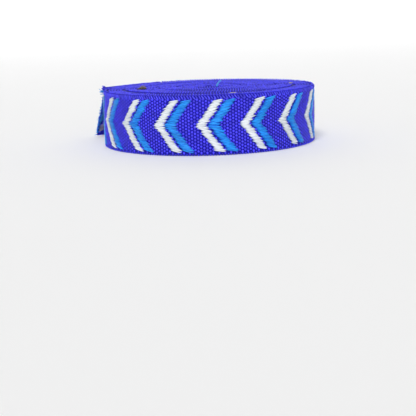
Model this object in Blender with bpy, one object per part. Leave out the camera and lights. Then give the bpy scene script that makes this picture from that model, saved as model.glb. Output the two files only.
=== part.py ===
"""A roll of jacquard webbing, wound tight and lying flat on its edges, with its loose end at the back left.

The origin is the centre of the roll's underside. +Z is up, along the roll's axis, and -Y is the front.
"""

import math

import bmesh
import bpy
from mathutils import Vector

# The tape, in metres
TAPE_WIDTH = 0.025
TURN_PITCH = 0.00136
GROUND_THICKNESS = 0.00105

# The winding
ROLL_RADIUS = 0.0476
LEAVE_ANGLE = math.radians(120.0)
FRONT_ANGLE = math.radians(-90.0)
COLUMNS = 72
EDGE_ROUNDING = 0.00035

# The outer turn stands off the rest at the left, more at its foot than at its top
STAND_OFF_ANGLE = math.radians(-178.0)
STAND_OFF_SPREAD = math.radians(58.0)
STAND_OFF_TOP = 0.0001
STAND_OFF_FOOT = 0.0006

# The uneven top, where some turns were pulled tighter than their neighbours
EYE_RADIUS = 0.0016
EYE_DEPTH = 0.0016
GAP_WIDTH = 0.0007
# Each row is one gap between groups of turns: turns in from the outside, its depth, and how far the group
# outside it stands above the tape's width or below it
GAPS = (
    {"turns_in": 1, "depth": 0.0012, "group_rise": 0.0},
    {"turns_in": 6, "depth": 0.0008, "group_rise": -0.00022},
    {"turns_in": 12, "depth": 0.0010, "group_rise": 0.00012},
    {"turns_in": 18, "depth": 0.0007, "group_rise": -0.00008},
    {"turns_in": 24, "depth": 0.0009, "group_rise": 0.00016},
    {"turns_in": 30, "depth": 0.0007, "group_rise": -0.00012},
)
CORE_RISE = 0.0001
# Each row is one slow wave round the roll: its swings, its height, and how far it drifts a turn, in radians
WAVES = (
    {"swings": 2, "height": 0.00009, "drift": 0.9},
    {"swings": 3, "height": 0.00006, "drift": -0.5},
)

# The loose end, from where it leaves the roll to its cut
LOOSE_LENGTH = 0.0321
LOOSE_STEPS = 14
LOOSE_ROWS = 8
LOOSE_TURN = math.radians(12.0)
LOOSE_LEAN = math.radians(19.0)
LOOSE_LIFT = 0.0006
LOOSE_BELLY = 0.0015
CUT_SLANT = 0.0012
PIECE_GAP = 0.0003

# Each finish is a base colour, with one roughness for the cloth
ROLL_COLOUR = (0.045, 0.036, 0.62, 1.0)
LOOSE_COLOUR = (0.030, 0.050, 0.42, 1.0)
CLOTH_ROUGHNESS = 0.8


def clear_scene():
    for item in list(bpy.data.objects):
        bpy.data.objects.remove(item, do_unlink=True)


def cloth(name, colour):
    material = bpy.data.materials.new(name)
    material.use_nodes = True
    shader = material.node_tree.nodes["Principled BSDF"]
    shader.inputs["Base Color"].default_value = colour
    shader.inputs["Roughness"].default_value = CLOTH_ROUGHNESS
    shader.inputs["Metallic"].default_value = 0.0
    return material


def add_piece(name, mesh_data, material):
    mesh = bpy.data.meshes.new(name)
    mesh_data.to_mesh(mesh)
    mesh_data.free()
    mesh.materials.append(material)
    mesh.shade_smooth()
    mesh.set_sharp_from_angle(angle=math.radians(35.0))
    piece = bpy.data.objects.new(name, mesh)
    bpy.context.collection.objects.link(piece)
    return piece


def outer_radius(back):
    """The outside of the winding, where back is the share of a turn wound since (0 at the loose end)."""
    front_share = (LEAVE_ANGLE - FRONT_ANGLE) / math.tau
    return ROLL_RADIUS + TURN_PITCH * (front_share - back)


def around(share):
    """The angle of a place by its share of the outer turn, from the step at 0 round to the loose end at 1."""
    return LEAVE_ANGLE - math.tau * (1.0 - share)


def stand_off(angle, height):
    """How far the outer turn stands off the rest at an angle and a height."""
    near = (angle - STAND_OFF_ANGLE) / STAND_OFF_SPREAD
    if abs(near) >= 1.0:
        return 0.0
    most = STAND_OFF_FOOT + (STAND_OFF_TOP - STAND_OFF_FOOT) * height / TAPE_WIDTH
    return most * math.cos(0.5 * math.pi * near) ** 2


def ring(work, inset, height, loosened=0.0):
    """A closed spiral line, inset from the outside. height gives z from the share of the turn and its angle.

    loosened is how much of the outer turn's stand-off the line follows, from 0 to 1.
    """
    points = []
    for column in range(COLUMNS):
        share = column / COLUMNS
        angle = around(share)
        radius = outer_radius(1.0 - share) - inset + loosened * stand_off(angle, TAPE_WIDTH)
        z = height(share, angle)
        points.append(work.verts.new((radius * math.cos(angle), radius * math.sin(angle), z)))
    return points


def ring_at(work, radius, z):
    """A round line about the axis, with the columns of the spiral ones."""
    points = []
    for column in range(COLUMNS):
        angle = around(column / COLUMNS)
        points.append(work.verts.new((radius * math.cos(angle), radius * math.sin(angle), z)))
    return points


def bridge(work, outer, inner):
    """Faces between two closed lines of the top, the outer one first."""
    for column in range(COLUMNS):
        following = (column + 1) % COLUMNS
        work.faces.new((outer[column], outer[following], inner[following], inner[column]))


def slow_wave(angle, turns_in):
    """The gentle rise and fall of the turns' edges round the roll. The outermost turn is level."""
    if turns_in <= 1:
        return 0.0
    return sum(row["height"] * math.sin(row["swings"] * angle + row["drift"] * turns_in) for row in WAVES)


def wall(work):
    """The outside of the roll with its step, from the flat underside up. Returns the line at its top rim."""
    wall_lines = (
        (0.0, EDGE_ROUNDING),
        (EDGE_ROUNDING, 0.0),
        (TAPE_WIDTH - EDGE_ROUNDING, 0.0),
        (TAPE_WIDTH, EDGE_ROUNDING),
    )
    lines = []
    for z, inset in wall_lines:
        line = []
        for column in range(COLUMNS + 1):
            share = column / COLUMNS
            angle = around(share)
            radius = outer_radius(1.0 - share) - inset + stand_off(angle, z)
            line.append(work.verts.new((radius * math.cos(angle), radius * math.sin(angle), z)))
        lines.append(line)
    for lower, upper in zip(lines, lines[1:]):
        for column in range(COLUMNS):
            work.faces.new((lower[column], lower[column + 1], upper[column + 1], upper[column]))
        work.faces.new((lower[COLUMNS], lower[0], upper[0], upper[COLUMNS]))
    work.faces.new(tuple(reversed(lines[0])))
    return lines[-1]


def gap_lines(work, gap, inner_rise):
    """One gap between groups of turns: its outer shoulder, its floor and its inner shoulder.

    The floor comes up to the shoulders at the step's angle.
    """
    turns_in = gap["turns_in"]
    middle = turns_in * TURN_PITCH
    shoulder = 0.5 * GAP_WIDTH
    loosened = 1.0 if turns_in == 1 else 0.0

    def shoulder_height(rise):
        return lambda share, angle: TAPE_WIDTH + rise + slow_wave(angle, turns_in)

    def floor_height(share, angle):
        level = TAPE_WIDTH + 0.5 * (gap["group_rise"] + inner_rise) + slow_wave(angle, turns_in)
        return level - gap["depth"] * math.sqrt(math.sin(math.pi * share))

    return [
        ring(work, middle - shoulder, shoulder_height(gap["group_rise"]), loosened),
        ring(work, middle, floor_height, 0.5 * loosened),
        ring(work, middle + shoulder, shoulder_height(inner_rise)),
    ]


def wound_roll():
    """One solid of the wound tape: a spiral outline with its step, and gaps between groups of turns on top."""
    work = bmesh.new()
    rim = wall(work)
    inner_rises = [gap["group_rise"] for gap in GAPS[1:]] + [CORE_RISE]
    lines = []
    for gap, inner_rise in zip(GAPS, inner_rises):
        lines += gap_lines(work, gap, inner_rise)

    first = lines[0]
    for column in range(COLUMNS - 1):
        work.faces.new((rim[column], rim[column + 1], first[column + 1], first[column]))
    work.faces.new((rim[COLUMNS - 1], rim[COLUMNS], first[0], first[COLUMNS - 1]))
    work.faces.new((rim[COLUMNS], rim[0], first[0]))
    for outer, inner in zip(lines, lines[1:]):
        bridge(work, outer, inner)

    eye_rim = ring_at(work, 2.0 * EYE_RADIUS, TAPE_WIDTH + CORE_RISE)
    eye_wall = ring_at(work, EYE_RADIUS, TAPE_WIDTH - 0.5 * EYE_DEPTH)
    bridge(work, lines[-1], eye_rim)
    bridge(work, eye_rim, eye_wall)
    bottom = work.verts.new((0.0, 0.0, TAPE_WIDTH - EYE_DEPTH))
    for column in range(COLUMNS):
        work.faces.new((eye_wall[column], eye_wall[(column + 1) % COLUMNS], bottom))
    return work


def loose_path():
    """The loose end's middle line from above: places, the way it runs there and the share of its length."""
    radius = outer_radius(0.0) - 0.5 * GROUND_THICKNESS
    place = Vector((radius * math.cos(LEAVE_ANGLE), radius * math.sin(LEAVE_ANGLE), 0.0))
    stretch = (LOOSE_LENGTH - PIECE_GAP) / LOOSE_STEPS
    heading = LEAVE_ANGLE + 0.5 * math.pi
    place += PIECE_GAP * Vector((math.cos(heading), math.sin(heading), 0.0))
    path = []
    for step in range(LOOSE_STEPS + 1):
        share = step / LOOSE_STEPS
        turned = heading + LOOSE_TURN * share * (2.0 - share)
        along = Vector((math.cos(turned), math.sin(turned), 0.0))
        path.append((place.copy(), along, share))
        place += stretch * along
    return path


def loose_end():
    """The loose end: a sheet that leaves along the roll's tangent, its foot leaning outwards towards the cut."""
    work = bmesh.new()
    sections = []
    for place, along, share in loose_path():
        outwards = Vector((along.y, -along.x, 0.0))
        lean = LOOSE_LEAN * share * share * (3.0 - 2.0 * share)
        up = Vector((0.0, 0.0, 1.0)) * math.cos(lean) - outwards * math.sin(lean)
        face = outwards * math.cos(lean) + Vector((0.0, 0.0, 1.0)) * math.sin(lean)
        top = Vector(place) + Vector((0.0, 0.0, TAPE_WIDTH - LOOSE_LIFT * share))
        corners = []
        for side, rows in ((-0.5, range(LOOSE_ROWS + 1)), (0.5, range(LOOSE_ROWS, -1, -1))):
            for row in rows:
                down = row / LOOSE_ROWS
                slant = CUT_SLANT * (down - 0.5) * share
                spot = top - up * (TAPE_WIDTH * down) + face * (side * GROUND_THICKNESS) + along * slant
                spot += outwards * (LOOSE_BELLY * math.sin(lean) * math.sin(math.pi * down))
                spot.z = max(spot.z, 0.0)
                corners.append(work.verts.new(spot))
        sections.append(corners)
    count = len(sections[0])
    for near, far in zip(sections, sections[1:]):
        for corner in range(count):
            following = (corner + 1) % count
            work.faces.new((near[corner], far[corner], far[following], near[following]))
    half = count // 2
    for section, flip in ((sections[0], False), (sections[-1], True)):
        for row in range(half - 1):
            quad = (section[row], section[row + 1], section[count - 2 - row], section[count - 1 - row])
            work.faces.new(tuple(reversed(quad)) if flip else quad)
    bmesh.ops.recalc_face_normals(work, faces=work.faces)
    return work


def main():
    clear_scene()
    add_piece("wound_roll", wound_roll(), cloth("wound_webbing", ROLL_COLOUR))
    add_piece("loose_end", loose_end(), cloth("loose_webbing", LOOSE_COLOUR))


main()
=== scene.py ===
"""Dresses a roll of jacquard webbing: its woven ground, raised chevrons, wound edges and frayed loose end."""

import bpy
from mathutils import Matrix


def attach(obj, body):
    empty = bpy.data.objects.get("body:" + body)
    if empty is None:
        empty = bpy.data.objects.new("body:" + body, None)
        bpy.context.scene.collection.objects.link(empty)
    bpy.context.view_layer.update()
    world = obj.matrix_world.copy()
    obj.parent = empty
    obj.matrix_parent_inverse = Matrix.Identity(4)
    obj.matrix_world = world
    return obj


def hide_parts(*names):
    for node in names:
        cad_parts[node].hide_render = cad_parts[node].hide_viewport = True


bl_info = {
    "name": "Jacquard Webbing Roll",
    "version": (1, 0, 0),
    "blender": (4, 5, 0),
    "location": "3D View > Sidebar > Webbing",
    "description": "Weaves the visible surface of a roll of patterned webbing round its packed solids",
    "category": "Object",
}

import math

import bpy
import numpy as np
from bpy.props import FloatProperty, FloatVectorProperty, IntProperty, PointerProperty
from mathutils import Matrix, Vector

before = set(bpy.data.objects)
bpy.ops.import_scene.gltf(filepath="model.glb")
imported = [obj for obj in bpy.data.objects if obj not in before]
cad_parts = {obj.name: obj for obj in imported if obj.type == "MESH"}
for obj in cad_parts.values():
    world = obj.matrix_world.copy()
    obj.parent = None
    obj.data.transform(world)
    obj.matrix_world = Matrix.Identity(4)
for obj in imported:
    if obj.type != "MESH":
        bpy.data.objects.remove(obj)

MM = 0.001
ROLL_NODE = "wound_roll"
LOOSE_NODE = "loose_end"
ROLL_SLOT = "wound_webbing"
LOOSE_SLOT = "loose_webbing"
FRONT_ANGLE = math.radians(-90.0)

# The camera, from the fit to the roll's outline
PHOTO_PIXELS = 416
FOCAL_PIXELS = 900.0
SENSOR_MM = 36.0
CAMERA_PLACE = (-1.85 * MM, -413.1 * MM, 55.12 * MM)
CAMERA_PITCH = math.radians(11.88)
CAMERA_ROLL = math.radians(-1.84)

# The studio: each row is one broad lamp, by the way it shines from, its softness and its strength
LAMPS = (
    {"name": "key", "place": (-0.14, -0.62, 0.77), "softness": math.radians(20.0), "strength": 1.75},
    {"name": "front", "place": (0.20, -0.95, 0.30), "softness": math.radians(40.0), "strength": 0.55},
)
SKY_STRENGTH = 0.36
FLOOR_HALF = 3.0
FLOOR_FRONT = -2.0
SWEEP_START = 1.2
SWEEP_RADIUS = 0.8
SWEEP_STEPS = 16
SWEEP_TOP = 3.0

# Each row is one gap between groups of turns: turns in from the outside, its depth, how far the group outside
# it stands above the tape's width or below it, how far the turns inside it are drawn in, and how many share that
GAPS = (
    {"turns_in": 1, "depth": 1.2 * MM, "group_rise": 0.0, "drawn_in": 0.55 * MM, "shared": 3.0},
    {"turns_in": 6, "depth": 0.8 * MM, "group_rise": -0.30 * MM, "drawn_in": 1.30 * MM, "shared": 8.0},
    {"turns_in": 12, "depth": 1.0 * MM, "group_rise": 0.14 * MM, "drawn_in": 0.40 * MM, "shared": 3.0},
    {"turns_in": 18, "depth": 0.7 * MM, "group_rise": -0.08 * MM, "drawn_in": 0.30 * MM, "shared": 2.5},
    {"turns_in": 24, "depth": 0.9 * MM, "group_rise": 0.16 * MM, "drawn_in": 0.35 * MM, "shared": 2.5},
    {"turns_in": 30, "depth": 0.7 * MM, "group_rise": -0.12 * MM, "drawn_in": 0.30 * MM, "shared": 2.5},
)
CORE_RISE = 0.1 * MM
TURN_GAP = 0.35 * MM

# How far the cloth under the yarns lies inside the tape's face, and below its edge at the turns' shoulders,
# the gaps between turns, the rim, the innermost turn and the eye
HOLLOW = 0.22 * MM
SHOULDER_DROP = 0.42 * MM
GAP_DROP = 0.5 * MM
RIM_DROP = 0.7 * MM
CORE_DROP = 1.2 * MM
EYE_DROP = 2.5 * MM
# Where a turn's two shoulders lie, as shares of its thickness
SHOULDERS = (0.32, 0.68)
# Where the rim's two tiers of loops meet, as a share of the way from the edge's middle over to the inside
RIM_PARTING = -0.4
# How far the loops on the wound turns reach over the edge's round, as a share of half its girth
WOUND_REACH = 0.84
# The first chevron round the roll and on the loose end, from the one at the front, and how many there are
ROLL_REPEATS = (-7, 17)
LOOSE_REPEATS = (10, 2)
# How far the yarns and the cloth under them keep off the floor
YARN_CLEARANCE = 0.02 * MM
BODY_CLEARANCE = 0.05 * MM

# Each row is one slow wave round the roll: its swings, its height, and how far it drifts a turn, in radians
WAVES = (
    {"swings": 2, "height": 0.09 * MM, "drift": 0.9},
    {"swings": 3, "height": 0.06 * MM, "drift": -0.5},
)


def length(name, text, millimetres):
    return FloatProperty(name=name, description=text, default=millimetres * MM, unit="LENGTH")


def angle(name, text, degrees):
    return FloatProperty(name=name, description=text, default=math.radians(degrees), subtype="ANGLE")


def number(name, text, value):
    return FloatProperty(name=name, description=text, default=value)


def colour(name, text, value):
    return FloatVectorProperty(name=name, description=text, default=value, size=4, min=0.0, max=1.0, subtype="COLOR")


class TapeSizes(bpy.types.PropertyGroup):
    """The tape and how it is wound."""

    width: length("Tape Width", "Width of the tape, which is the roll's height", 25.0)
    turn_pitch: length("Turn Pitch", "How far each turn lies outside the last", 1.36)
    ground: length("Ground Thickness", "Thickness of the woven ground without its raised threads", 1.05)
    radius: length("Roll Radius", "Radius of the roll's outside at the front", 47.6)
    eye: length("Eye Radius", "Radius of the small eye that the first turn is wound round", 2.0)
    leave: angle("Leaving Angle", "Where the loose end leaves the roll", 120.0)
    loose: length("Loose Length", "Length of the loose end", 32.1)
    loose_turn: angle("Loose Turn", "How far the loose end keeps the roll's bend", 12.0)
    loose_lean: angle("Loose Lean", "How far the loose end's foot leans out at its cut", 19.0)
    loose_lift: length("Loose Lift", "How far the loose end's top drops at its cut", 0.6)
    loose_belly: length("Loose Belly", "How far the leaning end bulges outwards", 1.5)
    cut_slant: length("Cut Slant", "How far the cut runs on from its top to its foot", 1.2)
    off_angle: angle("Stand-off Angle", "Where the outer turn stands off the rest the most", -178.0)
    off_spread: angle("Stand-off Spread", "Angle from there to where the turns touch again", 58.0)
    off_top: length("Stand-off Top", "How far the outer turn stands off at its top", 0.1)
    off_foot: length("Stand-off Foot", "How far the outer turn stands off at its foot", 0.6)


class WeaveSizes(bpy.types.PropertyGroup):
    """The woven ground and the raised threads of the pattern."""

    repeat_angle: angle("Repeat", "Angle of the roll that one chevron takes", 22.15)
    apex_angle: angle("First Apex", "Angle of one chevron's point, from the front", -7.45)
    picks: IntProperty(name="Picks", description="Weft picks in one repeat", default=15)
    ground_rows: IntProperty(name="Ground Rows", description="Raised warp crossings in one pick", default=17)
    crossing_length: number("Crossing Length", "Length of a warp crossing, as a share of a pick", 0.86)
    crossing_width: number("Crossing Width", "Width of a warp crossing, as a share of a row", 0.94)
    crossing_height: length("Crossing Height", "How far a warp crossing stands up", 0.30)
    crossing_slant: angle("Crossing Slant", "How far the warp crossings turn off the tape's length", 20.05)
    float_rows: IntProperty(name="Float Rows", description="Rows of raised threads in one chevron", default=16)
    float_foot: length("Float Foot", "Height of the lowest edge of the chevrons", 1.65)
    float_head: length("Float Head", "Height of the highest edge of the chevrons", 22.85)
    apex_row: number("Apex Row", "Row of the chevrons' point, from the lowest", 7.8)
    shift: length("Row Shift", "How far each row stands to the side of the last", 0.96)
    white: length("White Length", "Length of a white thread on the face", 4.4)
    between: length("Ground Between", "Ground that shows between white and azure", 0.45)
    azure: length("Azure Length", "Length of an azure thread on the face", 4.95)
    threads: IntProperty(name="Threads", description="Threads side by side in one row", default=2)
    tuck: length("Tuck", "Length of each thread that dips back into the ground", 0.7)
    thread_width: number("Thread Width", "Width of a raised thread, as a share of its room in the row", 1.12)
    thread_height: length("Thread Height", "How far a raised thread stands up", 0.6)
    thread_sink: length("Thread Sink", "How far the raised threads' sides lie below the tape's face", 0.12)
    slant: angle("Thread Slant", "How far the raised threads slant off the tape's length", 12.0)
    loop_height: length("Loop Height", "How far the edge's loops stand up", 0.5)
    rim_width: number("Rim Loop Width", "Width of the outer turn's loops, as a share of a pick", 0.66)
    rim_sink: length("Rim Loop Sink", "How far the sides of the outer turn's loops lie below its face", 0.3)
    wound_width: number("Wound Loop Width", "Width of the loops on the wound turns, as a share of a pick", 0.58)
    wound_sink: length("Wound Loop Sink", "How far the sides of those loops lie below the turns' edges", 0.25)
    foot_margin: length("Foot Margin", "How far the loops at the foot reach up beside the chevrons", 0.75)
    loop_slant: angle("Loop Slant", "How far the edge's loops slant off the tape's length", 124.0)
    wound_slant: angle("Wound Loop Slant", "How far the loops on the wound turns slant off the tape's length", 98.0)
    drift: number("Drift", "Loops by which the wound turns' loops drift sideways and back", 0.35)
    drift_turns: number("Drift Turns", "Turns that one drift and back takes", 24.0)
    loops_lost: number("Loops Lost", "Loops by which each turn is shorter than the one outside it", 7.0)
    seed: IntProperty(name="Seed", description="Seed of all the small unevenness", default=7)


class ClothColours(bpy.types.PropertyGroup):
    """The yarns' colours, in linear light: each yarn's lit crown colour, and the painted shade colours that its
    hollows, sides and ends take.
    """

    ground: colour("Ground Blue", "Royal blue of the ground's crowns", (0.082, 0.068, 1.0, 1.0))
    # Painted shade: the dark blue that stands for the shade in the hollows between the yarns, also the base of the
    # dark cloth under them
    painted_shade_blue: colour("Deep Blue", "Blue in the hollows between yarns", (0.003, 0.001, 0.54, 1.0))
    # Painted sheen: the edge blue is paler and greyer than the ground's crowns, for the haze that grazing light lays
    # on the roll's top, not for fading
    edge: colour("Edge Blue", "Slightly faded blue of the tape's edges", (0.105, 0.100, 0.98, 1.0))
    white: colour("White", "White of the raised threads", (0.88, 0.92, 0.94, 1.0))
    # Painted shade: the grey that the white threads take towards their sides and ends, for the shade between them
    white_painted_shade: colour("White Shade", "Grey between the white threads", (0.30, 0.37, 0.50, 1.0))
    azure: colour("Azure", "Azure of the raised threads", (0.024, 0.40, 1.0, 1.0))
    # Painted shade: the darker azure that the azure threads take towards their sides and ends, for the shade between
    # them
    azure_painted_shade: colour("Azure Shade", "Darker azure between the threads", (0.003, 0.12, 0.66, 1.0))
    # Painted shade: the white and the azure on the loose end's reverse side are darkened copies, for the shade that
    # side lies in
    white_back: colour("Shaded White", "White where it crosses the reverse side", (0.26, 0.24, 0.32, 1.0))
    azure_back: colour("Shaded Azure", "Azure where it crosses the reverse side", (0.03, 0.20, 0.44, 1.0))
    # Painted shade: the lint's shaded colour, given to the fibres at its foot for the shade under the clump
    lint_shade: colour("Lint Shade", "Dark brown of the lint's foot", (0.16, 0.12, 0.13, 1.0))
    lint: colour("Lint", "Brown of the lint on the top", (0.50, 0.42, 0.38, 1.0))
    cream: colour("Cream", "Pale cream of the stray fibres", (0.62, 0.56, 0.52, 1.0))
    floor: colour("Floor", "Pale floor", (0.94, 0.94, 0.94, 1.0))


class Value:
    """A node's socket in a Python expression: each operator adds the Math node that it stands for."""

    def __init__(self, graph, socket):
        self.graph = graph
        self.socket = socket

    def __add__(self, other):
        return self.graph.math("ADD", self, other)

    def __radd__(self, other):
        return self.graph.math("ADD", other, self)

    def __sub__(self, other):
        return self.graph.math("SUBTRACT", self, other)

    def __rsub__(self, other):
        return self.graph.math("SUBTRACT", other, self)

    def __mul__(self, other):
        return self.graph.math("MULTIPLY", self, other)

    def __rmul__(self, other):
        return self.graph.math("MULTIPLY", other, self)

    def __truediv__(self, other):
        return self.graph.math("DIVIDE", self, other)

    def __rtruediv__(self, other):
        return self.graph.math("DIVIDE", other, self)

    def __pow__(self, other):
        return self.graph.math("POWER", self, other)

    def __mod__(self, other):
        return self.graph.math("FLOORED_MODULO", self, other)

    def __abs__(self):
        return self.graph.math("ABSOLUTE", self)

    def __gt__(self, other):
        return self.graph.math("GREATER_THAN", self, other)

    def __lt__(self, other):
        return self.graph.math("LESS_THAN", self, other)


class Graph:
    """Adds nodes to one shader or geometry tree."""

    def __init__(self, tree):
        self.tree = tree

    def feed(self, socket, value):
        """Links a socket or an expression to an input, or sets the input's own value."""
        if isinstance(value, Value):
            self.tree.links.new(value.socket, socket)
        elif isinstance(value, bpy.types.NodeSocket):
            self.tree.links.new(value, socket)
        else:
            socket.default_value = value

    def node(self, kind, settings=None, inputs=None):
        """One node: its settings first, such as a Math node's operation, then its sockets by name or place."""
        node = self.tree.nodes.new(kind)
        for name, value in (settings or {}).items():
            setattr(node, name, value)
        for key, value in (inputs or {}).items():
            self.feed(node.inputs[key], value)
        return node

    def value(self, node, output=0):
        return Value(self, node.outputs[output])

    def math(self, operation, *terms):
        return self.value(self.node("ShaderNodeMath", {"operation": operation}, dict(enumerate(terms))))

    def mix(self, factor, first, second):
        """A colour between two others."""
        mixer = self.node("ShaderNodeMix", {"data_type": "RGBA"}, {0: factor, 6: first, 7: second})
        return mixer.outputs[2]

    def attribute(self, name):
        return self.node("ShaderNodeAttribute", {"attribute_name": name}).outputs["Fac"]


def front_share(tape):
    return (tape.leave - FRONT_ANGLE) / math.tau


def outer_radius(tape, back):
    """The outside of the winding, where back counts the turns wound since, from 0 at the loose end."""
    return tape.radius + tape.turn_pitch * (front_share(tape) - back)


def leave_place(tape):
    """Where the loose end leaves, as a place along the tape from the front."""
    return tape.radius * (tape.leave - FRONT_ANGLE)


def step_place(tape):
    """Where the outer turn comes out from under the loose end."""
    return leave_place(tape) - math.tau * tape.radius


def cut_place(tape):
    return leave_place(tape) + tape.loose


def loose_line(tape, steps=96):
    """The loose end's middle line from above: places, headings and the share of its length at each."""
    radius = outer_radius(tape, 0.0) - 0.5 * tape.ground
    share = np.linspace(0.0, 1.0, steps + 1)
    heading = tape.leave + 0.5 * math.pi + tape.loose_turn * share * (2.0 - share)
    stretch = tape.loose / steps
    x = radius * math.cos(tape.leave) + np.concatenate([[0.0], np.cumsum(stretch * np.cos(heading[:-1]))])
    y = radius * math.sin(tape.leave) + np.concatenate([[0.0], np.cumsum(stretch * np.sin(heading[:-1]))])
    return share, x, y, heading


def stand_off(tape, angle, height):
    """How far the outer turn stands off the rest at an angle and a height."""
    near = np.clip((angle - tape.off_angle) / tape.off_spread, -1.0, 1.0)
    most = tape.off_foot + (tape.off_top - tape.off_foot) * height / tape.width
    return most * np.cos(0.5 * math.pi * near) ** 2


def on_roll(tape, along, up, out):
    """Points of the outer turn, from the place along the tape, the height and the distance out from its face."""
    angle = FRONT_ANGLE + along / tape.radius
    back = (tape.leave - angle) / math.tau
    radius = outer_radius(tape, back) + out + stand_off(tape, angle, np.clip(up, 0.0, tape.width))
    return np.stack([radius * np.cos(angle), radius * np.sin(angle), up], axis=1)


def on_loose_end(tape, along, up, out):
    """Points of the loose end, from the same three measures."""
    share, x, y, heading = loose_line(tape)
    reach = (along - leave_place(tape)) / tape.loose
    down = 1.0 - up / tape.width
    s = np.clip(reach, 0.0, 1.0)
    way = np.interp(s, share, heading)
    beyond = (reach - s) * tape.loose + tape.cut_slant * (down - 0.5) * s
    lean = tape.loose_lean * s * s * (3.0 - 2.0 * s)
    bulge = tape.loose_belly * np.sin(lean) * np.sin(math.pi * down)
    from_face = out + 0.5 * tape.ground
    outwards = tape.width * down * np.sin(lean) + from_face * np.cos(lean) + bulge
    height = tape.width - tape.loose_lift * s - tape.width * down * np.cos(lean) + from_face * np.sin(lean)
    place_x = np.interp(s, share, x) + beyond * np.cos(way) + outwards * np.sin(way)
    place_y = np.interp(s, share, y) + beyond * np.sin(way) - outwards * np.cos(way)
    return np.stack([place_x, place_y, np.maximum(height, 0.0)], axis=1)


def on_tape(tape, along, up, out):
    """Points of the outer turn and, past the leaving place, of the loose end."""
    roll = on_roll(tape, along, up, out)
    loose = on_loose_end(tape, along, up, out)
    return np.where((along > leave_place(tape))[:, None], loose, roll)


def over_edge(tape, across, lift):
    """Up and out of a point on the tape's rounded top edge, which across passes over from outside to inside."""
    half = 0.5 * tape.ground
    bend = np.clip(across / half, -0.5 * math.pi, 0.5 * math.pi)
    beyond = np.abs(across - half * bend)
    up = tape.width - half + (half + lift) * np.cos(bend) - beyond
    return up, -half - (half + lift) * np.sin(bend)


def gap_opening(turns_in):
    """How far a turn is drawn inwards from the gap outside it, the less the further in it lies."""
    opening = np.zeros(np.shape(turns_in))
    for row in GAPS:
        inside = np.maximum(turns_in - row["turns_in"], 0.0)
        grown = np.where(inside < 0.5, np.sin(math.pi * inside) ** 0.7, 1.0)
        opening += row["drawn_in"] * grown * np.exp(-inside / row["shared"])
    return opening


def group_rise(turns_in):
    """How far the turns at that depth stand above the tape's width."""
    rise = np.full(np.shape(turns_in), CORE_RISE)
    for row in reversed(GAPS):
        rise = np.where(turns_in < row["turns_in"], row["group_rise"], rise)
    return rise


def slow_wave(angle, turns_in):
    """The gentle rise and fall of the turns' edges round the roll. The outermost turn is level."""
    rise = sum(row["height"] * np.sin(row["swings"] * angle + row["drift"] * turns_in) for row in WAVES)
    return rise * np.clip(turns_in - 1.0, 0.0, 1.0)


def gap_depth(turns_in, share):
    """The depth of the dark gap outside that turn, deeper at the gaps between groups."""
    depth = np.full(np.shape(turns_in), TURN_GAP)
    for row in GAPS:
        near = np.abs(turns_in - row["turns_in"]) < 0.5
        depth = np.where(near, np.maximum(depth, row["depth"] * np.sqrt(np.abs(np.sin(math.pi * share)))), depth)
    return depth


def wound_turns_in(tape, travelled):
    """How many turns of tape lie outside a place, from its length of tape back from the loose end's root."""
    first = outer_radius(tape, 0.0) - 0.5 * tape.turn_pitch
    under = np.maximum(first * first - tape.turn_pitch * travelled / math.pi, 0.0)
    return (first - np.sqrt(under)) / tape.turn_pitch


def turn_count(tape):
    return (outer_radius(tape, 0.0) - tape.eye) / tape.turn_pitch


def wound_length(tape):
    """The tape in the roll: its side view's area over the pitch of its turns."""
    outer = outer_radius(tape, 0.0) - 0.5 * tape.turn_pitch
    inner = tape.eye + 0.5 * tape.turn_pitch
    return math.pi * (outer * outer - inner * inner) / tape.turn_pitch


def plain_mesh(name, points, faces, material):
    mesh = bpy.data.meshes.new(name)
    mesh.from_pydata([tuple(point) for point in points], [], faces)
    mesh.materials.append(material)
    mesh.shade_smooth()
    mesh.update()
    return mesh


def add_object(name, mesh):
    piece = bpy.data.objects.new(name, mesh)
    bpy.context.scene.collection.objects.link(piece)
    return piece


def points_of(mesh):
    flat = np.empty(len(mesh.vertices) * 3, np.float32)
    mesh.vertices.foreach_get("co", flat)
    return flat.reshape(-1, 3).astype(float)


def move_points(mesh, points):
    mesh.vertices.foreach_set("co", np.ascontiguousarray(points, np.float32).ravel())
    mesh.update()


def new_tree(name, inputs):
    """A Geometry Nodes tree with named inputs. Returns its graph and the inputs as expressions."""
    tree = bpy.data.node_groups.new(name, "GeometryNodeTree")
    for label, kind, default in inputs:
        socket = tree.interface.new_socket(label, in_out="INPUT", socket_type=kind)
        if default is not None:
            socket.default_value = default
    tree.interface.new_socket("Geometry", in_out="OUTPUT", socket_type="NodeSocketGeometry")
    graph = Graph(tree)
    entry = graph.node("NodeGroupInput")
    return graph, {label: Value(graph, entry.outputs[label]) for label, _, _ in inputs}


def finish_tree(graph, instances, material):
    """Ends a tree with Realize Instances and Set Material."""
    real = graph.node("GeometryNodeRealizeInstances", None, {"Geometry": instances})
    smooth = graph.node("GeometryNodeSetShadeSmooth", None, {"Geometry": real.outputs[0]})
    finished = graph.node("GeometryNodeSetMaterial", None, {"Geometry": smooth.outputs[0], "Material": material})
    graph.node("NodeGroupOutput", None, {0: finished.outputs[0]})
    return graph.tree


def grow(name, tree, settings):
    """A plain mesh from a tree: its inputs are set by identifier, and the modifier is removed again."""
    piece = add_object(name, bpy.data.meshes.new(name))
    modifier = piece.modifiers.new(tree.name, "NODES")
    modifier.node_group = tree
    for item in tree.interface.items_tree:
        if item.in_out == "INPUT" and item.name in settings:
            modifier[item.identifier] = settings[item.name]
    evaluated = piece.evaluated_get(bpy.context.evaluated_depsgraph_get())
    mesh = bpy.data.meshes.new_from_object(evaluated)
    piece.modifiers.remove(modifier)
    empty = piece.data
    piece.data = mesh
    bpy.data.meshes.remove(empty)
    mesh.name = name
    return piece


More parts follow.
